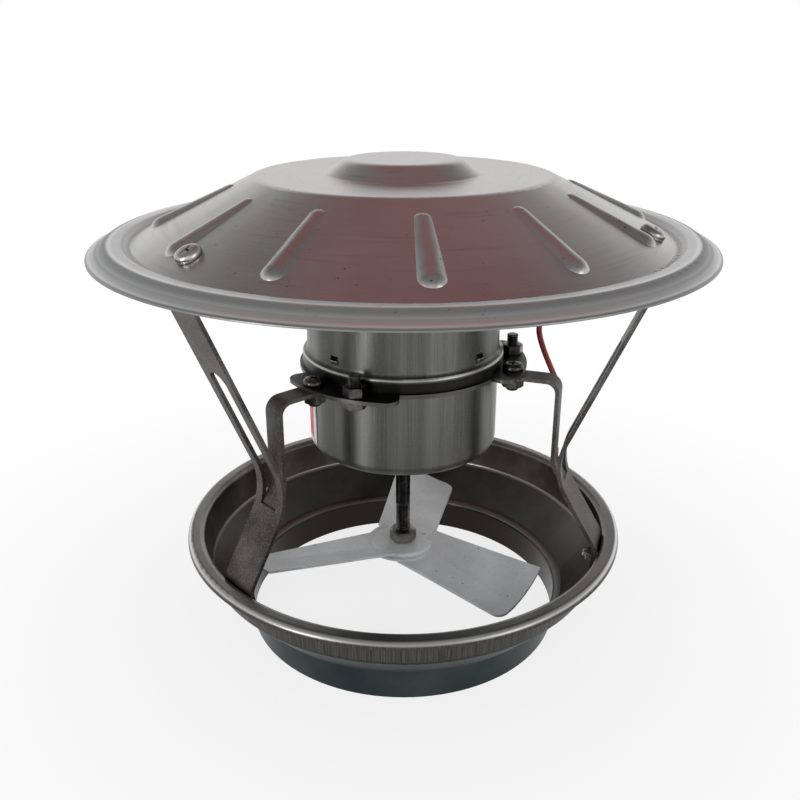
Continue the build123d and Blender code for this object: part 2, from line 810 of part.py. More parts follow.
with BuildPart() as coil_tie:
    tie_inside = (coil_width + 2 * tie_gap, coil_height + 2 * tie_gap)
    with BuildSketch(coil_plane):
        with Locations((coil_turn_radius, 0)):
            RectangleRounded(tie_inside[0] + 2 * tie_sheet, tie_inside[1] + 2 * tie_sheet, coil_round)
            RectangleRounded(*tie_inside, coil_round - tie_sheet, mode=Mode.SUBTRACT)
    extrude(amount=tie_width / 2, both=True)
pieces["coil_tie"] = coil_tie.part

with BuildPart() as plug_body:
    tail_x = coil_middle[0] - coil_turn_radius + plug_tail_overlap
    plug_y = coil_middle[1] + coil_turn_radius
    body_x = tail_x - plug_tail_length
    with BuildSketch(Plane(origin=(body_x, plug_y, plug_height / 2), z_dir=(-1, 0, 0))):
        RectangleRounded(plug_height, plug_width, plug_round)
    extrude(amount=plug_length)
    with BuildSketch(Plane(origin=(body_x, plug_y, plug_height / 2), z_dir=(1, 0, 0))):
        Circle(plug_tail_radius)
    extrude(amount=plug_tail_length, taper=plug_tail_taper)
pieces["plug_body"] = plug_body.part

with BuildPart() as plug_pins:
    with BuildSketch(Plane(origin=(body_x - plug_length, plug_y, plug_height / 2), z_dir=(-1, 0, 0))):
        with Locations((0, pin_spacing / 2), (0, -pin_spacing / 2)):
            Circle(pin_radius)
    extrude(amount=pin_length)
pieces["plug_pins"] = plug_pins.part

os.makedirs("parts", exist_ok=True)
for name, piece in pieces.items():
    piece.label = name
    export_step(piece, f"parts/{name}.step")
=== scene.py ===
from math import asin, ceil, cos, degrees, pi, radians, sin, tan

import bmesh
import bpy
from mathutils import Matrix, Vector


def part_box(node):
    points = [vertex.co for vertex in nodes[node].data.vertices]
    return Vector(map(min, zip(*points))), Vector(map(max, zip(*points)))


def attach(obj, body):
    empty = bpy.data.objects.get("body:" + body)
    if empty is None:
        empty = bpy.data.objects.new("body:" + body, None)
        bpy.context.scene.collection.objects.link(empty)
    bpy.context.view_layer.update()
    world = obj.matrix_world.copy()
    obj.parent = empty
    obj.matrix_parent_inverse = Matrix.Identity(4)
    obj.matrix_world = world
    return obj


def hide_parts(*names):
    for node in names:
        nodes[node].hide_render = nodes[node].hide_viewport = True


# Chimney draught fan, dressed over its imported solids. Metres, +Z up, the CAD frame.

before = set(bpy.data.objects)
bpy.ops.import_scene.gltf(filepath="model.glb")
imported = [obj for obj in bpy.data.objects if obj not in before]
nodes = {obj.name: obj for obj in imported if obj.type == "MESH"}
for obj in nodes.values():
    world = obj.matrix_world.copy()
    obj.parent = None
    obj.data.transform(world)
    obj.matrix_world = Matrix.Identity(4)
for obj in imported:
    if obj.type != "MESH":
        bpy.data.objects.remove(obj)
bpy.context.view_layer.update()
scene = bpy.context.scene
mm = 0.001

# Camera, at the photograph's angle
camera_place = Vector((-1.7, -432.95, 301.95)) * mm
camera_pitch = 22.34  # degrees below the horizon
camera_clip = 0.01
focal_pixels = 879.1
frame_pixels = 800
sensor_width = 36.0

# Places of the fasteners, as the CAD has them, in millimetres and degrees
leg_angles = (102.0, 222.0, 342.0)
motor_bolt_turn = 25.0
cap_screw_radius = 118.0
cap_seat_z = 219.736
cone_tilt = 25.985
touch = 0.05  # under a head that seats on a curved face
cap_stack = 2.898  # cap and leg sheet under a cap screw's head
foot_screw_z = 48.5
foot_seat_radius = 108.853
wall_tilt = 7.012
foot_stack = 3.457
bolt_circle = 58.0
flange_z = 146.3
ear_seat_z = 148.3
ear_stack = 4.0
hub_z = 36.5
hub_nut_seat = 39.2

# Sizes of the fasteners, in millimetres
m4 = {"size": 4.0, "pitch": 0.7}
m6 = {"size": 6.0, "pitch": 1.0}
m4_past_stack = 5.2
m6_past_stack = 7.0
# the recess of a head: reach, width, depth
cap_head = {"head_radius": 6.0, "head_height": 3.6, "recess": (3.3, 1.5, 2.3)}
foot_head = {"head_radius": 4.0, "head_height": 2.6, "recess": (2.2, 1.0, 1.6)}
ear_head = {"head_radius": 5.3, "head_height": 3.3, "recess": (3.0, 1.4, 2.1)}
# the head's outline, as shares of its radius and height
head_outline = (
    (0.42, 1.0), (0.66, 0.97), (0.84, 0.86), (0.95, 0.66), (1.0, 0.4), (1.0, 0.1), (0.97, 0.0),
)
recess_taper = 0.55  # the recess at its bottom, as a share of its top
cutter_over = 0.5  # how far the cutter stands over the head
m4_flats, m4_nut_height, m4_bore = 7.0, 3.2, 2.05  # the bore is a radius
m6_flats, m6_nut_height, m6_bore = 10.0, 5.0, 3.05
m8_flats, m8_nut_height, m8_bore = 13.0, 6.5, 4.05
hex_face_share = 0.97  # flat end of a hexagon, as a share of its half width
hex_core_share = 0.2  # innermost ring of a hexagon without a bore
hex_chamfer = 30.0
bolt_head_height = 4.0
bolt_root = 0.5  # shank inside the head
bolt_plain = 2.0
bolt_end = 12.5
tip_inset = 0.6
tip_length = 0.4
thread_depth_share = 0.55  # of the pitch
thread_steps = 10  # rings for each turn of thread
round_steps = 48
sharp_angle = 32.0  # degrees between faces from which an edge is sharp

# Shaft, motor shells, plate and vents, in millimetres and degrees
shaft_radius = 4.0
shaft_pitch = 1.25
shaft_tip = 0.8
shaft_thread_top = 63.0
shaft_shoulder = (113.1, 186.9, 5.0)  # bottom, top, radius
cup_radius = 49.2
can_radius = 49.5
plate_angles = (150.0, 206.0)
plate_heights = (107.0, 142.0)
plate_gap = 0.05
plate_thickness = 0.25
vent_angles = (48.0, 138.0, 228.0, 318.0)
vent_place = (160.5, 5.0, 2.5)  # height, width, opening
lip_below = 1.6  # from the lower edge of the opening
lip_above = 0.5
lip_bulge = 0.9
lip_thickness = 0.3

# Lead, in millimetres and degrees apart from its diameter and length
lead_diameter = 3.0 * mm
lead_exit = (56.0, 8.0, 185.5)  # radius, angle, height
lead_straight = 8.5
lead_route = (
    (71.0, 9.0, 181.2), (73.8, 8.2, 173.0), (70.2, 5.9, 163.0), (73.0, 6.4, 152.6),
    (79.5, 10.0, 138.0), (84.4, 12.5, 128.0), (86.1, 18.0, 112.0), (87.8, 26.0, 97.0),
    (89.6, 35.5, 83.0), (91.9, 45.5, 72.0), (94.6, 56.0, 65.5), (96.8, 67.0, 63.5),
    (98.6, 77.0, 58.5), (100.0, 85.0, 48.0), (100.5, 91.5, 34.0), (100.0, 97.5, 19.0),
    (97.8, 105.0, 7.5), (93.0, 115.5, 2.2), (87.0, 127.5, 1.5), (79.5, 139.5, 1.5),
    (71.0, 150.5, 1.5), (62.5, 161.0, 2.2),
)
lead_tail = ((45.5, 172.0, 8.9), (38.5, 173.2, 8.7), (32.0, 172.0, 7.2), (25.0, 170.0, 6.0))
coil_middle = Vector((40.0, 152.0, 0.0))
coil_start_angle = 60.0
coil_points_per_turn = 16
coil_step_share = 0.22  # part of a turn in which the lead passes to the next place
# radius and height of each turn: in along the floor, out above it, then two on top
coil_turns = (
    (21.3, 2.7), (18.0, 2.7), (14.7, 2.7),
    (14.7, 6.0), (18.0, 6.0), (21.3, 6.0),
    (16.35, 8.9), (19.65, 8.9),
)

# Looks that take more than one number
maroon = (0.3, 0.15, 0.15, 1.0)
# level of the sky by its place from straight below, 0, to straight above, 1
dome_levels = (
    (0.0, 1.0), (0.63, 1.0), (0.7, 0.86), (0.75, 0.66), (0.8, 0.42), (0.88, 0.26), (1.0, 0.22),
)
# tone of the cap's bead and band across its rim, from 0 to 1: painted highlight lines at the
# crease, the bead and the edge, with painted shade between them
rim_start, rim_width = 0.13, 0.02
rim_painted_light_levels = (
    (0.0, 150), (0.1, 214), (0.17, 184), (0.38, 188), (0.46, 216), (0.54, 154),
    (0.64, 138), (0.72, 172), (0.86, 182), (0.93, 214), (0.97, 150), (1.0, 120),
)


def polar(radius, angle, height=0.0):
    """Point in millimetres at an angle round the axis."""
    return Vector((radius * cos(radians(angle)), radius * sin(radians(angle)), height))


def shade(red, green, blue):
    """Linear colour from screen values out of 255."""
    return tuple((part / 255) ** 2.2 for part in (red, green, blue)) + (1.0,)


def grey(level):
    """Linear grey."""
    return (level, level, level, 1.0)


def new_object(name, data, body="frame"):
    """Object in the scene that rides on a body of the frame."""
    piece = bpy.data.objects.new(name, data)
    scene.collection.objects.link(piece)
    if body:
        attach(piece, body)
    return piece


# Camera
camera = new_object("camera", bpy.data.cameras.new("camera"), None)
camera.location = camera_place
camera.rotation_euler = (radians(90 - camera_pitch), 0, 0)
camera.data.sensor_width = sensor_width
camera.data.lens = focal_pixels * sensor_width / frame_pixels
camera.data.clip_start = camera_clip
scene.camera = camera
scene.view_settings.view_transform = "Standard"


# Node helpers
class Shader:
    """Node tree with short ways to add nodes and join them."""

    def __init__(self, tree):
        self.tree = tree

    def add(self, kind, settings=None, **inputs):
        """Node with its settings and its inputs by name."""
        made = self.tree.nodes.new(kind)
        for key, value in (settings or {}).items():
            setattr(made, key, value)
        for key, value in inputs.items():
            self.put(made, key.replace("_", " "), value)
        return made

    def put(self, target, key, value):
        """Joins a socket to an input, or writes a constant there."""
        socket = target.inputs[key]
        if isinstance(value, bpy.types.NodeSocket):
            self.tree.links.new(value, socket)
        else:
            socket.default_value = value

    def put_all(self, target, values):
        """Fills the first inputs in their order."""
        for index, value in enumerate(values):
            self.put(target, index, value)

    def math(self, operation, *values):
        made = self.add("ShaderNodeMath", {"operation": operation})
        self.put_all(made, values)
        return made.outputs[0]

    def times(self, first, *others):
        for other in others:
            first = self.math("MULTIPLY", first, other)
        return first

    def plus(self, first, *others):
        for other in others:
            first = self.math("ADD", first, other)
        return first

    def vector_math(self, operation, *vectors):
        made = self.add("ShaderNodeVectorMath", {"operation": operation})
        self.put_all(made, vectors)
        return made.outputs

    def ramp(self, value, low, high):
        """0 at low, 1 at high, smooth between. Low may be the greater one."""
        made = self.add(
            "ShaderNodeMapRange", {"interpolation_type": "SMOOTHSTEP"},
            Value=value, From_Min=low, From_Max=high,
        )
        return made.outputs["Result"]

    def window(self, value, rise, fall):
        """1 between two ramps, 0 outside them."""
        return self.times(self.ramp(value, *rise), self.ramp(value, *fall))

    def span(self, value, low, high):
        """Value from 0 to 1 laid between low and high."""
        made = self.add("ShaderNodeMapRange", Value=value, To_Min=low, To_Max=high)
        return made.outputs["Result"]

    def blend(self, share, first, second):
        """Colour between two colours."""
        made = self.add("ShaderNodeMix", {"data_type": "RGBA", "clamp_factor": True})
        # the colour sockets of this node come after those of its other types
        for index, value in ((0, share), (6, first), (7, second)):
            self.put(made, index, value)
        return made.outputs[2]

    def over(self, pattern, limits, under, top):
        """One colour over another where a pattern rises between two limits."""
        return self.blend(self.ramp(pattern, *limits), under, top)

    def colour_ramp(self, value, stops):
        """Colour by a value, through stops of position and colour from 0 to 1."""
        made = self.add("ShaderNodeValToRGB", Fac=value)
        elements = made.color_ramp.elements
        elements[0].position, elements[0].color = stops[0]
        elements[1].position, elements[1].color = stops[-1]
        for position, colour in stops[1:-1]:
            elements.new(position).color = colour
        return made.outputs["Color"]

    def noise(self, vector, scale, detail=4.0, roughness=0.55):
        made = self.add(
            "ShaderNodeTexNoise", Vector=vector, Scale=scale, Detail=detail, Roughness=roughness
        )
        return made.outputs["Fac"]

    def seen(self):
        """1 on the rays that show what is behind a pixel, 0 on those that only light."""
        path = self.add("ShaderNodeLightPath").outputs
        shown = self.math("MAXIMUM", path["Is Camera Ray"], path["Is Glossy Ray"])
        return self.math("MAXIMUM", shown, path["Is Transmission Ray"])

    def mix_shaders(self, share, first, second):
        made = self.add("ShaderNodeMixShader")
        self.put_all(made, (share, first.outputs[0], second.outputs[0]))
        return made.outputs[0]


class Surface(Shader):
    """Procedural material with the coordinates that the patterns use."""

    def __init__(self, name, metallic=0.0, roughness=0.5, **settings):
        self.material = bpy.data.materials.new(name)
        self.material.use_nodes = True
        super().__init__(self.material.node_tree)
        self.shader = self.tree.nodes["Principled BSDF"]
        self.shader.inputs["Metallic"].default_value = metallic
        self.shader.inputs["Roughness"].default_value = roughness
        for key, value in settings.items():
            self.shader.inputs[key.replace("_", " ")].default_value = value
        self.place = self.add("ShaderNodeTexCoord").outputs["Object"]
        self.x, self.y, self.z = self.add("ShaderNodeSeparateXYZ", Vector=self.place).outputs
        self.outward = self.vector_math("MULTIPLY", self.place, (1, 1, 0))["Vector"]
        self.radius = self.vector_math("LENGTH", self.outward)["Value"]
        self.angle = self.math("ARCTAN2", self.y, self.x)

    def colour(self, value):
        self.put(self.shader, "Base Color", value)

    def rough(self, value):
        self.put(self.shader, "Roughness", value)

    def bump(self, height, distance):
        made = self.add("ShaderNodeBump", Strength=1.0, Distance=distance, Height=height)
        self.put(self.shader, "Normal", made.outputs["Normal"])

    def normal(self):
        return self.add("ShaderNodeNewGeometry").outputs["Normal"]

    def upward(self, vector):
        """Vertical part of a vector."""
        return self.add("ShaderNodeSeparateXYZ", Vector=vector).outputs[2]

    def around(self, along_angle, along_height, along_radius=0.0):
        """Coordinates unrolled round the axis, for streaks on turned and drawn sheet."""
        made = self.add("ShaderNodeCombineXYZ")
        self.put_all(made, (
            self.times(self.angle, along_angle),
            self.times(self.z, along_height),
            self.times(self.radius, along_radius),
        ))
        return made.outputs[0]


def dress(material, *names):
    """Gives CAD nodes a material."""
    for name in names:
        data = nodes[name].data
        data.materials.clear()
        data.materials.append(material)


# World: a white studio, darker overhead and with a maroon ceiling at the back, which the
# camera and the metal see alike, over an even light for everything else
world = bpy.data.worlds.new("studio")
scene.world = world
world.use_nodes = True
world.node_tree.nodes.clear()
sky = Shader(world.node_tree)
way = sky.add("ShaderNodeTexCoord").outputs["Generated"]
sideways, depth, height = sky.add("ShaderNodeSeparateXYZ", Vector=way).outputs
dome = sky.colour_ramp(
    sky.math("MULTIPLY_ADD", height, 0.5, 0.5),
    [(position, grey(level)) for position, level in dome_levels],
)
over_head = sky.ramp(height, 0.25, 0.4)
right_side = sky.times(sky.ramp(sideways, 0.18, 0.42), over_head, 0.42)
left_side = sky.times(sky.ramp(sideways, -0.22, -0.46), over_head, 0.4)
walls = sky.blend(right_side, dome, grey(0.12))
walls = sky.blend(left_side, walls, grey(0.16))
over_middle = sky.window(sideways, (-0.44, -0.2), (0.46, 0.34))
far_half = sky.times(sky.ramp(height, 0.5, 0.72), sky.ramp(depth, 0.0, 0.2))
ceiling = sky.blend(sky.times(over_middle, far_half), walls, maroon)
studio = sky.add("ShaderNodeBackground", Color=ceiling, Strength=1.0)
even = sky.add("ShaderNodeBackground", Color=grey(0.7), Strength=1.0)
sky.add("ShaderNodeOutputWorld", Surface=sky.mix_shaders(sky.seen(), even, studio))

# Floor, pale, with only a soft shadow
floor_half = 1.5
floor_drop = 0.05 * mm
floor_corners = [
    (floor_half * across, floor_half * along, 0)
    for across, along in ((-1, -1), (1, -1), (1, 1), (-1, 1))
]
floor_data = bpy.data.meshes.new("floor")
floor_data.from_pydata(floor_corners, [], [(0, 1, 2, 3)])
floor = new_object("floor", floor_data, None)
floor.location.z = -floor_drop
floor_look = Surface("pale_floor", roughness=0.9)
floor_cloud = floor_look.noise(floor_look.place, 6.0)
floor_look.colour(floor_look.blend(floor_cloud, grey(0.86), grey(0.9)))
glow = floor_look.add("ShaderNodeEmission", Color=grey(1.0), Strength=1.0)
glow_share = floor_look.span(floor_look.ramp(floor_look.radius, 0.12, 0.42), 0.8, 1.0)
glow_share = floor_look.times(floor_look.seen(), glow_share)
floor_look.put(
    floor_look.tree.nodes["Material Output"], "Surface",
    floor_look.mix_shaders(glow_share, floor_look.shader, glow),
)
floor_data.materials.append(floor_look.material)


def soft_light(name, place, target, width, height, power):
    """Area lamp that faces a point."""
    lamp = bpy.data.lights.new(name, "AREA")
    lamp.shape = "RECTANGLE"
    lamp.size = width
    lamp.size_y = height
    lamp.energy = power
    lamp_object = new_object(name, lamp, None)
    lamp_object.location = place
    way_to_target = Vector(target) - Vector(place)
    lamp_object.rotation_euler = way_to_target.to_track_quat("-Z", "Y").to_euler()


soft_light("key_light", (-0.85, -0.85, 0.3), (0, 0, 0.13), width=0.25, height=0.36, power=4.0)
soft_light("fill_light", (0.9, -0.8, 0.4), (0, 0, 0.1), width=0.6, height=0.6, power=2.0)

# Lead: the CAD route, a little aside behind the right-hand leg, and the coil's turns, in one line
lead_points = [polar(*lead_exit), polar(lead_exit[0] + lead_straight, *lead_exit[1:])]
lead_points += [Vector(place) for place in lead_route]
for turn, (radius, level) in enumerate(coil_turns):
    next_radius, next_level = coil_turns[min(turn + 1, len(coil_turns) - 1)]
    for step in range(coil_points_per_turn):
        share = step / coil_points_per_turn
        passing = max(0.0, (share - 1 + coil_step_share) / coil_step_share)
        on_turn = polar(
            radius + (next_radius - radius) * passing,
            coil_start_angle + 360 * share,
            level + (next_level - level) * passing,
        )
        lead_points.append(coil_middle + on_turn)
lead_points += [Vector(place) for place in lead_tail]

lead_curve = bpy.data.curves.new("red_lead", "CURVE")
lead_curve.dimensions = "3D"
lead_curve.bevel_depth = 1.0  # times each point's radius
lead_curve.bevel_resolution = 4
lead_curve.resolution_u = 5
lead_curve.use_fill_caps = True
lead_line = lead_curve.splines.new("NURBS")
lead_line.points.add(len(lead_points) - 1)
for point, place in zip(lead_line.points, lead_points):
    point.co = (*(place * mm), 1.0)
    point.radius = lead_diameter / 2
lead_line.order_u = 3
lead_line.use_endpoint_u = True
red_lead = new_object("red_lead", lead_curve)
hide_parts("power_lead", "lead_coil")

# Cap: satin sheet with fine rings and spots, and a duller rim with painted highlight lines and
# painted shade across its bead and band
cap = Surface("satin_stainless", metallic=1.0)
cap_cloud = cap.noise(cap.place, 14.0, 6.0)
cap_rings = cap.noise(cap.around(3.0, 0.0, 2600.0), 1.0, 3.0)
cap_rubs = cap.noise(cap.around(2.0, 0.0, 500.0), 1.0, 5.0)
cap_spots = cap.noise(cap.place, 420.0, 2.0)
cap_rim = cap.ramp(cap.radius, 0.1308, 0.1332)
# painted highlight lines and painted shade across the rim's bead and band, by radius
rim_painted_light_tones = cap.colour_ramp(
    cap.math("MULTIPLY_ADD", cap.radius, 1 / rim_width, -rim_start / rim_width),
    [(position, shade(level, level + 1, level + 1)) for position, level in rim_painted_light_levels],
)
cap_tone = cap.over(cap_cloud, (0.3, 0.72), shade(176, 175, 174), shade(192, 191, 190))
cap_tone = cap.over(cap_rubs, (0.5, 0.85), cap_tone, shade(166, 163, 162))
cap_tone = cap.blend(cap_rim, cap_tone, rim_painted_light_tones)
cap.colour(cap.over(cap_spots, (0.7, 0.78), cap_tone, shade(104, 96, 92)))
cap.put(cap.shader, "Metallic", cap.span(cap_rim, 1.0, 0.72))
crease = cap.window(cap.radius, (0.1294, 0.1304), (0.1345, 0.1325))
flank = cap.window(cap.radius, (0.1398, 0.1412), (0.1466, 0.145))
cap_dullness = cap.plus(
    cap.times(cap_cloud, 0.5),
    cap.times(cap_rings, 0.3),
    cap.times(cap_rim, 0.12),
    cap.times(cap.plus(crease, flank), 0.5),
)
cap.rough(cap.span(cap_dullness, 0.16, 0.5))
cap.bump(cap.plus(cap.times(cap_rings, 0.4), cap_cloud), 0.06 * mm)
dress(cap.material, "rain_cap")
even_cap = nodes["rain_cap"].modifiers.new("even_shading", "WEIGHTED_NORMAL")
even_cap.keep_sharp = True

# Legs: scuffed, grainy strap
leg_look = Surface("scuffed_strap", metallic=1.0)
leg_grain = leg_look.noise(leg_look.place, 1500.0, 3.0)
leg_cloud = leg_look.noise(leg_look.place, 55.0, 6.0)
leg_tone = leg_look.over(leg_cloud, (0.3, 0.7), shade(66, 62, 59), shade(98, 95, 92))
leg_tone = leg_look.over(leg_grain, (0.56, 0.74), leg_tone, shade(120, 116, 113))
leg_look.colour(leg_look.over(leg_grain, (0.46, 0.3), leg_tone, shade(46, 42, 39)))
leg_look.rough(leg_look.span(leg_cloud, 0.34, 0.62))
leg_look.bump(leg_grain, 0.08 * mm)
dress(leg_look.material, "leg_rear", "leg_front_left", "leg_right")

# Collar: streaked band over a blue-green skirt outside, with a painted shade stripe at its bend;
# dark inside, with lighter blotches as painted reflections and painted highlights on the ledges;
# and a bright rim whose top is partly worn and partly painted highlight, with a painted highlight
# on its edge
bowl = Surface("spun_bowl", metallic=1.0)
bowl_cloud = bowl.noise(bowl.place, 24.0, 6.0)
bowl_streaks = bowl.noise(bowl.around(260.0, 36.0, 10.0), 1.0, 5.0)
bowl_rings = bowl.noise(bowl.around(4.0, 1800.0, 1500.0), 1.0, 3.0)
bowl_normal = bowl.normal()
bowl_up = bowl.upward(bowl_normal)
facing_out = bowl.vector_math("DOT_PRODUCT", bowl_normal, bowl.outward)["Value"]
outside = bowl.ramp(facing_out, -0.002, 0.002)
band_tone = bowl.over(bowl_streaks, (0.3, 0.7), shade(56, 55, 54), shade(84, 83, 81))
skirt_tone = bowl.over(bowl_cloud, (0.3, 0.7), shade(46, 55, 55), shade(62, 70, 69))
skirt_tone = bowl.over(bowl.z, (0.0165, 0.02), skirt_tone, shade(40, 47, 47))
out_tone = bowl.over(bowl.z, (0.0378, 0.0394), skirt_tone, band_tone)
# darker stripe at the outer bend under the band: painted shade
painted_shade_bend = bowl.times(bowl.window(bowl.z, (0.027, 0.033), (0.0384, 0.0368)), outside)
out_tone = bowl.blend(painted_shade_bend, out_tone, shade(26, 29, 29))
in_tone = bowl.over(bowl.z, (0.0365, 0.0385), shade(82, 81, 79), shade(68, 63, 60))
# lighter cloudy blotches inside: painted soft reflections
in_tone = bowl.over(bowl_cloud, (0.35, 0.7), in_tone, shade(104, 102, 99))
in_tone = bowl.over(bowl.z, (0.018, 0.016), in_tone, shade(46, 43, 40))
# light lines along the inner ledges: painted highlights
lower_ledge_highlight = bowl.window(bowl.z, (0.0164, 0.0172), (0.0188, 0.018))
upper_ledge_highlight = bowl.window(bowl.z, (0.0362, 0.037), (0.0386, 0.0378))
in_tone = bowl.blend(bowl.plus(lower_ledge_highlight, upper_ledge_highlight), in_tone, shade(136, 134, 130))
bowl_tone = bowl.blend(outside, in_tone, out_tone)
# lighter tone on the rim's upward-facing top, partly worn sheet and partly painted highlight, and a
# painted highlight along its outer edge
rim_share = bowl.times(bowl.ramp(bowl.z, 0.0545, 0.0564), bowl.ramp(bowl_up, 0.1, 0.6))
edge_highlight_face = bowl.window(bowl_up, (0.2, 0.45), (0.97, 0.85))
edge_highlight_share = bowl.times(edge_highlight_face, outside, bowl.ramp(bowl.z, 0.054, 0.055))
rim_tone = bowl.over(bowl_cloud, (0.3, 0.7), shade(116, 116, 115), shade(142, 142, 141))
rim_tone = bowl.blend(edge_highlight_share, rim_tone, shade(214, 213, 210))
bowl.colour(bowl.blend(rim_share, bowl_tone, rim_tone))
bowl.rough(bowl.span(bowl.plus(bowl_cloud, bowl.times(painted_shade_bend, 2.0)), 0.2, 0.46))
bowl.bump(bowl.plus(bowl.times(bowl_rings, 0.5), bowl_streaks), 0.06 * mm)
dress(bowl.material, "flue_collar")

# Motor shells: drawn steel with upright lines, broad darker bands painted as reflections, a painted
# highlight on the bead, a dark step under it and a dark flange with painted highlights on its edges
motor = Surface("drawn_motor_steel", metallic=1.0, Anisotropic=0.85, Anisotropic_Rotation=0.25)
motor_round = motor.add("ShaderNodeTangent", {"direction_type": "RADIAL", "axis": "Z"})
motor.put(motor.shader, "Tangent", motor_round.outputs[0])
motor_lines = motor.noise(motor.around(60.0, 9.0), 1.0, 6.0, 0.7)
motor_fine = motor.noise(motor.around(320.0, 18.0), 1.0, 3.0)
# broad upright bands, darker where the pattern rises: painted reflections
motor_reflection_bands = motor.noise(motor.around(2.6, 2.0), 1.0, 2.0)
motor_cloud = motor.noise(motor.place, 30.0, 5.0)
motor_specks = motor.noise(motor.place, 2600.0, 2.0)
motor_up = motor.upward(motor.normal())
motor_tone = motor.over(motor_lines, (0.25, 0.75), shade(88, 88, 87), shade(114, 114, 113))
motor_tone = motor.over(motor_reflection_bands, (0.4, 0.62), motor_tone, shade(80, 80, 79))
motor_tone = motor.over(motor_fine, (0.5, 0.85), motor_tone, shade(132, 132, 130))
motor_tone = motor.over(motor_specks, (0.56, 0.8), motor_tone, shade(122, 122, 120))
motor_tone = motor.over(motor_cloud, (0.55, 0.8), motor_tone, shade(102, 99, 92))
# light tone on the bead's upper shoulder: painted highlight
bead_highlight_face = motor.window(motor_up, (0.12, 0.4), (0.85, 0.6))
bead_highlight_share = motor.times(bead_highlight_face, motor.ramp(motor.radius, 0.0499, 0.0508))
motor_tone = motor.blend(bead_highlight_share, motor_tone, shade(186, 186, 184))
step_height = motor.window(motor.z, (0.1544, 0.1528), (0.1462, 0.1474))
step_share = motor.times(step_height, motor.ramp(motor.radius, 0.0512, 0.0517))
motor_tone = motor.blend(step_share, motor_tone, shade(42, 41, 40))
flange_tone = motor.over(motor_cloud, (0.4, 0.7), shade(28, 27, 26), shade(46, 45, 43))
# lighter steep faces along the flange's edges: painted highlight
steepness = motor.math("ABSOLUTE", motor_up)
flange_tone = motor.over(steepness, (0.8, 0.4), flange_tone, shade(84, 83, 81))
motor.colour(motor.over(motor.radius, (0.0528, 0.0534), motor_tone, flange_tone))
motor.rough(motor.span(motor_lines, 0.28, 0.44))
motor.bump(motor.plus(motor_lines, motor.times(motor_fine, 0.5)), 0.03 * mm)
dress(motor.material, "motor_upper_can", "motor_lower_cup")


def plain_metal(name, dark, light, low_rough, high_rough, grain=500.0):
    """Metal of small parts: cloudy tone, fine grain and uneven gloss."""
    look = Surface(name, metallic=1.0)
    cloud = look.noise(look.place, 160.0, 5.0)
    speck = look.noise(look.place, grain, 3.0)
    tone = look.over(cloud, (0.3, 0.7), dark, light)
    look.colour(look.over(speck, (0.64, 0.76), tone, dark))
    look.rough(look.span(cloud, low_rough, high_rough))
    look.bump(speck, 0.03 * mm)
    return look.material


zinc = plain_metal("zinc_screw", shade(148, 146, 142), shade(206, 204, 200), 0.2, 0.42)
dull_zinc = plain_metal("dull_nut", shade(58, 57, 54), shade(104, 102, 97), 0.2, 0.42)
brassy = plain_metal("brassy_nut", shade(110, 108, 101), shade(166, 163, 153), 0.22, 0.44)
dark_shaft = plain_metal("oiled_shaft", shade(52, 50, 49), shade(104, 102, 100), 0.16, 0.36)
core_iron = plain_metal("core_iron", shade(70, 68, 66), shade(104, 101, 98), 0.4, 0.6)
copper = plain_metal("winding_copper", shade(128, 66, 38), shade(190, 108, 66), 0.3, 0.5, 900.0)
bronze = plain_metal("bush_bronze", shade(138, 104, 62), shade(176, 138, 86), 0.35, 0.55)
brass = plain_metal("pin_brass", shade(176, 146, 84), shade(214, 186, 120), 0.2, 0.36)
dress(zinc, "cap_screws", "foot_screws")
dress(
    dull_zinc, "ear_screws", "cap_nuts", "ear_nuts", "foot_nuts", "motor_bolts", "motor_nuts"
)
dress(brassy, "impeller_upper_nut", "impeller_lower_nut")
dress(dark_shaft, "shaft")
dress(core_iron, "stator_core", "rotor_core")
dress(copper, "stator_windings")
dress(bronze, "lower_bearing", "upper_bearing", "thrust_washers")
dress(brass, "plug_pins")

# Impeller: matt sheet with small pits
blade = Surface("matte_aluminium", metallic=0.35)
blade_cloud = blade.noise(blade.place, 40.0, 6.0)
blade_grain = blade.noise(blade.place, 900.0, 3.0)
blade_pits = blade.noise(blade.place, 210.0, 2.0)
blade_tone = blade.over(blade_cloud, (0.3, 0.7), shade(212, 214, 216), shade(230, 232, 234))
blade_tone = blade.over(blade_grain, (0.62, 0.72), blade_tone, shade(176, 177, 178))
blade.colour(blade.over(blade_pits, (0.71, 0.76), blade_tone, shade(86, 84, 82)))
blade.rough(blade.span(blade_cloud, 0.42, 0.62))
blade.bump(blade_grain, 0.05 * mm)
dress(blade.material, "impeller")


def plain_plastic(name, dark, light, low_rough, high_rough):
    """Moulded plastic or rubber with a fine grain."""
    look = Surface(name)
    cloud = look.noise(look.place, 90.0, 5.0)
    grain = look.noise(look.place, 1800.0, 2.0)
    look.colour(look.over(cloud, (0.3, 0.7), dark, light))
    look.rough(look.span(cloud, low_rough, high_rough))
    look.bump(grain, 0.05 * mm)
    return look.material


rubber = plain_plastic("grommet_rubber", shade(24, 24, 25), shade(44, 43, 43), 0.5, 0.75)
red_pvc = plain_plastic("red_pvc", shade(112, 18, 24), shade(146, 30, 34), 0.3, 0.5)
tie_nylon = plain_plastic("tie_nylon", shade(28, 28, 30), shade(48, 48, 50), 0.35, 0.55)
plug_plastic = plain_plastic("plug_plastic", shade(30, 30, 31), shade(52, 51, 51), 0.4, 0.6)
dress(rubber, "cable_grommet")
dress(tie_nylon, "coil_tie")
dress(plug_plastic, "plug_body")
lead_curve.materials.append(red_pvc)


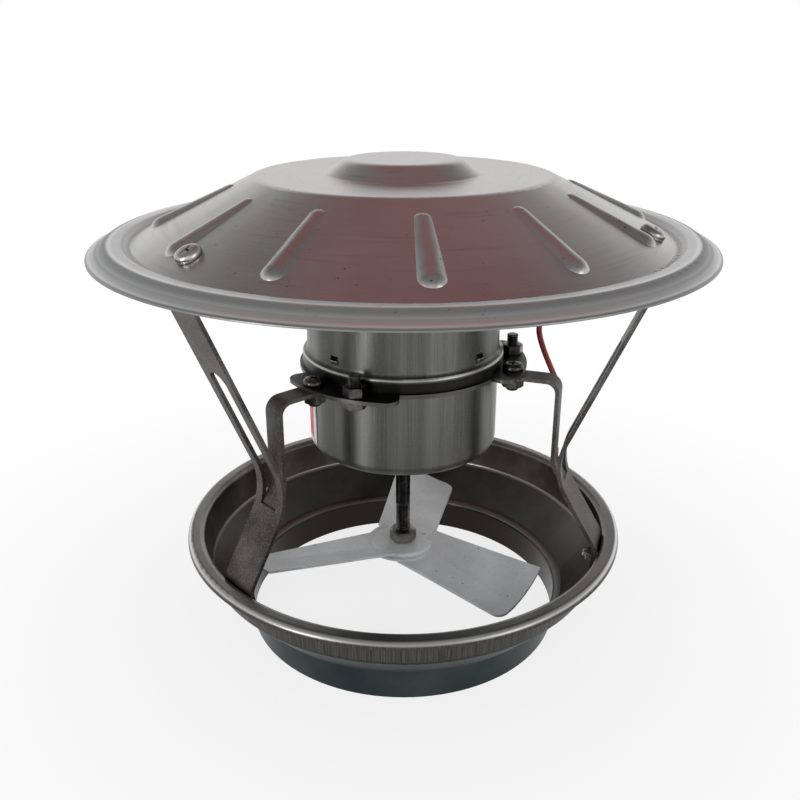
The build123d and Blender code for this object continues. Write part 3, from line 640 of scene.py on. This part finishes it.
# Detailed fasteners in place of the plain CAD ones
def mesh_data(name, mesh):
    """Smooth mesh from what was built, which is let go."""
    data = bpy.data.meshes.new(name)
    mesh.to_mesh(data)
    mesh.free()
    data.shade_smooth()
    return data


def sharpen(data):
    """Marks the steep edges of a smooth mesh as sharp."""
    data.set_sharp_from_angle(angle=radians(sharp_angle))
    return data


def ring_mesh(name, rings, closed=False):
    """Mesh through rings of equal length, with its ends capped, or joined where it is closed."""
    mesh = bmesh.new()
    made = [[mesh.verts.new(point * mm) for point in ring] for ring in rings]
    count = len(rings[0])
    pairs = list(zip(made, made[1:])) + ([(made[-1], made[0])] if closed else [])
    for low, high in pairs:
        for index in range(count):
            follow = (index + 1) % count
            mesh.faces.new((low[index], low[follow], high[follow], high[index]))
    if not closed:
        mesh.faces.new(reversed(made[0]))
        mesh.faces.new(made[-1])
    bmesh.ops.recalc_face_normals(mesh, faces=mesh.faces)
    return sharpen(mesh_data(name, mesh))


def step_angle(step):
    """Angle of one of the points round a ring."""
    return 360 * step / round_steps


def circle(radius, height):
    """Ring of points at one height."""
    return [polar(radius, step_angle(step), height) for step in range(round_steps)]


def thread_rings(radius, pitch, low, high):
    """Rings whose radius follows a helical thread, from high down to low."""
    depth = thread_depth_share * pitch
    count = ceil((high - low) / pitch * thread_steps)
    rings = []
    for level in range(count + 1):
        height = high - (high - low) * level / count
        fade = min(1.0, 2 * level / thread_steps, 2 * (count - level) / thread_steps)
        ring = []
        for step in range(round_steps):
            phase = (height / pitch + step / round_steps) % 1.0
            groove = depth * fade * abs(2 * phase - 1)
            ring.append(polar(radius - groove, step_angle(step), height))
        rings.append(ring)
    return rings


def cross_cutter(reach, width, top, bottom):
    """Tapered cross that is cut out of a screw's head."""
    corner = width / 2
    arm = ((reach, -corner), (reach, corner), (corner, corner))
    outline = [*arm]
    for _ in range(3):
        arm = [(-along, across) for across, along in arm]
        outline += arm
    rings = []
    for height, scale in ((bottom, recess_taper), (top, 1.0)):
        rings.append([Vector((across * scale, along * scale, height)) for across, along in outline])
    return ring_mesh("cross_cutter", rings)


def cut_from(data, cutter):
    """Mesh that is left of data when cutter is taken out of it."""
    blank = bpy.data.objects.new("blank", data)
    tool = bpy.data.objects.new("tool", cutter)
    for helper in (blank, tool):
        scene.collection.objects.link(helper)
    cut = blank.modifiers.new("cut", "BOOLEAN")
    cut.operation = "DIFFERENCE"
    cut.solver = "EXACT"
    cut.object = tool
    depsgraph = bpy.context.evaluated_depsgraph_get()
    result = bpy.data.meshes.new_from_object(blank.evaluated_get(depsgraph))
    for helper in (blank, tool):
        bpy.data.objects.remove(helper)
    result.shade_smooth()
    return sharpen(result)


def cross_screw(size, pitch, length, plain, head_radius, head_height, recess):
    """Pan-head screw with a cross recess and a thread past its plain stretch, head up."""
    rings = [
        *(circle(head_radius * out, head_height * up) for out, up in head_outline),
        circle(size / 2, 0.0),
        *thread_rings(size / 2, pitch, -length + tip_length, -plain),
        circle(size / 2 - tip_inset, -length),
    ]
    blank = ring_mesh("cross_screw", rings[::-1])
    reach, width, depth = recess
    cutter = cross_cutter(reach, width, head_height + cutter_over, head_height - depth)
    return cut_from(blank, cutter)


def hex_radius(across_flats, step):
    """Distance from the middle to the side of a hexagon."""
    return across_flats / 2 / cos(radians(step_angle(step) % 60 - 30))


def chamfered_hex(across_flats, low, high, bore):
    """Hexagon with its corners turned down at both ends, and a bore where one is given."""
    flat = across_flats / 2 * hex_face_share
    inner = bore if bore else hex_core_share * flat
    lower, upper = [], []
    for step in range(round_steps):
        side = hex_radius(across_flats, step)
        fall = (side - flat) * tan(radians(hex_chamfer))
        lower.append(polar(side, step_angle(step), low + fall))
        upper.append(polar(side, step_angle(step), high - fall))
    rings = [
        circle(inner, low), circle(flat, low), lower,
        upper, circle(flat, high), circle(inner, high),
    ]
    return ring_mesh("chamfered_hex", rings, closed=bool(bore))


def seat(radius, height, tilt=0.0):
    """Place on the +X side whose upward direction leans outward by a tilt."""
    place = Matrix.Translation(Vector((radius, 0, height)) * mm)
    return place @ Matrix.Rotation(radians(tilt), 4, "Y")


def stacked(place, drop):
    """Place further down a fastener's own axis."""
    return place @ Matrix.Translation((0, 0, -drop * mm))


def at_legs(place, turn=0.0):
    """The same place at every leg."""
    return [Matrix.Rotation(radians(angle + turn), 4, "Z") @ place for angle in leg_angles]


def joined(name, items, body="frame"):
    """One object from several meshes, each with the place it goes to."""
    mesh = bmesh.new()
    for data, place in items:
        start = len(mesh.verts)
        mesh.from_mesh(data)
        mesh.verts.ensure_lookup_table()
        bmesh.ops.transform(mesh, matrix=place, verts=mesh.verts[start:])
    return new_object(name, sharpen(mesh_data(name, mesh)), body)


cap_screw = cross_screw(**m6, length=cap_stack + m6_past_stack, plain=cap_stack, **cap_head)
foot_screw = cross_screw(**m4, length=foot_stack + m4_past_stack, plain=foot_stack, **foot_head)
ear_screw = cross_screw(**m6, length=ear_stack + m6_past_stack, plain=ear_stack, **ear_head)
m6_nut = chamfered_hex(m6_flats, -m6_nut_height, 0.0, m6_bore)
m4_nut = chamfered_hex(m4_flats, -m4_nut_height, 0.0, m4_bore)
m8_nut = chamfered_hex(m8_flats, 0.0, m8_nut_height, m8_bore)
bolt_radius = m6["size"] / 2
bolt_rings = [
    circle(bolt_radius - tip_inset, bolt_end),
    *thread_rings(bolt_radius, m6["pitch"], bolt_plain, bolt_end - tip_length),
    circle(bolt_radius, 0.0),
    circle(bolt_radius, -bolt_root),
]
bolt_shank = ring_mesh("bolt_shank", bolt_rings[::-1])
bolt_head = chamfered_hex(m6_flats, -bolt_head_height, 0.0, 0.0)

cap_place = seat(cap_screw_radius, cap_seat_z, cone_tilt)
foot_place = seat(foot_seat_radius, foot_screw_z, 90 + wall_tilt)
ear_place = seat(bolt_circle, ear_seat_z)
cap_heads = at_legs(stacked(cap_place, -touch))
foot_heads = at_legs(stacked(foot_place, -touch))
ear_heads = at_legs(ear_place)
cap_ends = at_legs(stacked(cap_place, cap_stack))
foot_ends = at_legs(stacked(foot_place, foot_stack))
ear_ends = at_legs(stacked(ear_place, ear_stack))
bolt_heads = at_legs(seat(bolt_circle, flange_z), motor_bolt_turn)
bolt_nuts = at_legs(seat(bolt_circle, ear_seat_z + m6_nut_height), motor_bolt_turn)
hub_over = [seat(0, hub_nut_seat)]
hub_under = [seat(0, hub_z - m8_nut_height)]

# piece, CAD node that it stands for, material, meshes, places
screws = (
    ("cap_cross_screws", "cap_screws", zinc, [cap_screw], cap_heads),
    ("foot_cross_screws", "foot_screws", zinc, [foot_screw], foot_heads),
    ("ear_cross_screws", "ear_screws", dull_zinc, [ear_screw], ear_heads),
)
nuts = (
    ("cap_hex_nuts", "cap_nuts", dull_zinc, [m6_nut], cap_ends),
    ("foot_hex_nuts", "foot_nuts", zinc, [m4_nut], foot_ends),
    ("ear_hex_nuts", "ear_nuts", dull_zinc, [m6_nut], ear_ends),
    ("motor_hex_bolts", "motor_bolts", dull_zinc, [bolt_head, bolt_shank], bolt_heads),
    ("motor_hex_nuts", "motor_nuts", dull_zinc, [m6_nut], bolt_nuts),
)
hub_nuts = (
    ("hub_upper_nut", "impeller_upper_nut", brassy, [m8_nut], hub_over),
    ("hub_lower_nut", "impeller_lower_nut", brassy, [m8_nut], hub_under),
)
for rows, slot, body in (
    (screws, "screw_steel", "frame"), (nuts, "nut_steel", "frame"), (hub_nuts, "nut_steel", "rotor")
):
    for name, node, material, meshes, places in rows:
        piece = joined(name, [(mesh, place) for place in places for mesh in meshes], body)
        piece.data.materials.append(material)
        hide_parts(node)

# Shaft with its thread
shaft_low, shaft_high = (corner.z / mm for corner in map(Vector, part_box("shaft")))
shoulder_low, shoulder_high, shoulder_radius = shaft_shoulder
shaft_rings = [
    circle(shaft_radius, shaft_high),
    circle(shaft_radius, shoulder_high),
    circle(shoulder_radius, shoulder_high),
    circle(shoulder_radius, shoulder_low),
    circle(shaft_radius, shoulder_low),
    *thread_rings(shaft_radius, shaft_pitch, shaft_low + shaft_tip, shaft_thread_top),
    circle(shaft_radius - shaft_tip, shaft_low),
]
shaft_mesh = ring_mesh("threaded_shaft", shaft_rings[::-1])
threaded_shaft = new_object("threaded_shaft", shaft_mesh, "rotor")
threaded_shaft.data.materials.append(dark_shaft)
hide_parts("shaft")


def wrapped_sheet(name, angles, heights, radius, bulge, thickness, columns=24, rows=8):
    """Thin sheet on a round wall, whose face may stand out between its edges."""
    mesh = bmesh.new()
    grid = []
    for row in range(rows + 1):
        up = row / rows
        line = []
        for column in range(columns + 1):
            across = column / columns
            stand = bulge * (1 - (2 * across - 1) ** 2) ** 0.5 * sin(pi / 2 * up)
            angle = angles[0] + (angles[1] - angles[0]) * across
            height = heights[0] + (heights[1] - heights[0]) * up
            line.append(mesh.verts.new(polar(radius + stand, angle, height) * mm))
        grid.append(line)
    for low, high in zip(grid, grid[1:]):
        for column in range(columns):
            mesh.faces.new((low[column], low[column + 1], high[column + 1], high[column]))
    piece = new_object(name, mesh_data(name, mesh))
    shell = piece.modifiers.new("thickness", "SOLIDIFY")
    shell.thickness = thickness * mm
    shell.offset = 1.0
    return piece


# Blank plate on the cup, and the lips under the can's vents
plate_look = Surface("painted_plate", roughness=0.45)
plate_dirt = plate_look.noise(plate_look.place, 120.0, 5.0)
plate_tone = plate_look.over(
    plate_dirt, (0.45, 0.75), shade(232, 230, 226), shade(196, 190, 184)
)
plate_band = plate_look.times(
    plate_look.ramp(plate_look.x, -0.0459, -0.0464), plate_look.ramp(plate_look.z, 0.1095, 0.1105)
)
plate_look.colour(plate_look.blend(plate_band, plate_tone, shade(186, 44, 42)))
plate_look.rough(plate_look.span(plate_dirt, 0.3, 0.55))
plate_radius = cup_radius + plate_gap
plate = wrapped_sheet(
    "blank_plate", plate_angles, plate_heights, plate_radius, 0.0, plate_thickness
)
plate.data.materials.append(plate_look.material)

vent_z, vent_width, vent_opening = vent_place
vent_half = degrees(asin(vent_width / 2 / can_radius))
vent_low = vent_z - vent_opening / 2
for index, angle in enumerate(vent_angles):
    lip = wrapped_sheet(
        f"vent_lip_{index + 1}",
        (angle - vent_half, angle + vent_half),
        (vent_low - lip_below, vent_low + lip_above),
        can_radius,
        lip_bulge,
        lip_thickness,
        columns=12,
        rows=6,
    )
    lip.data.materials.append(motor.material)
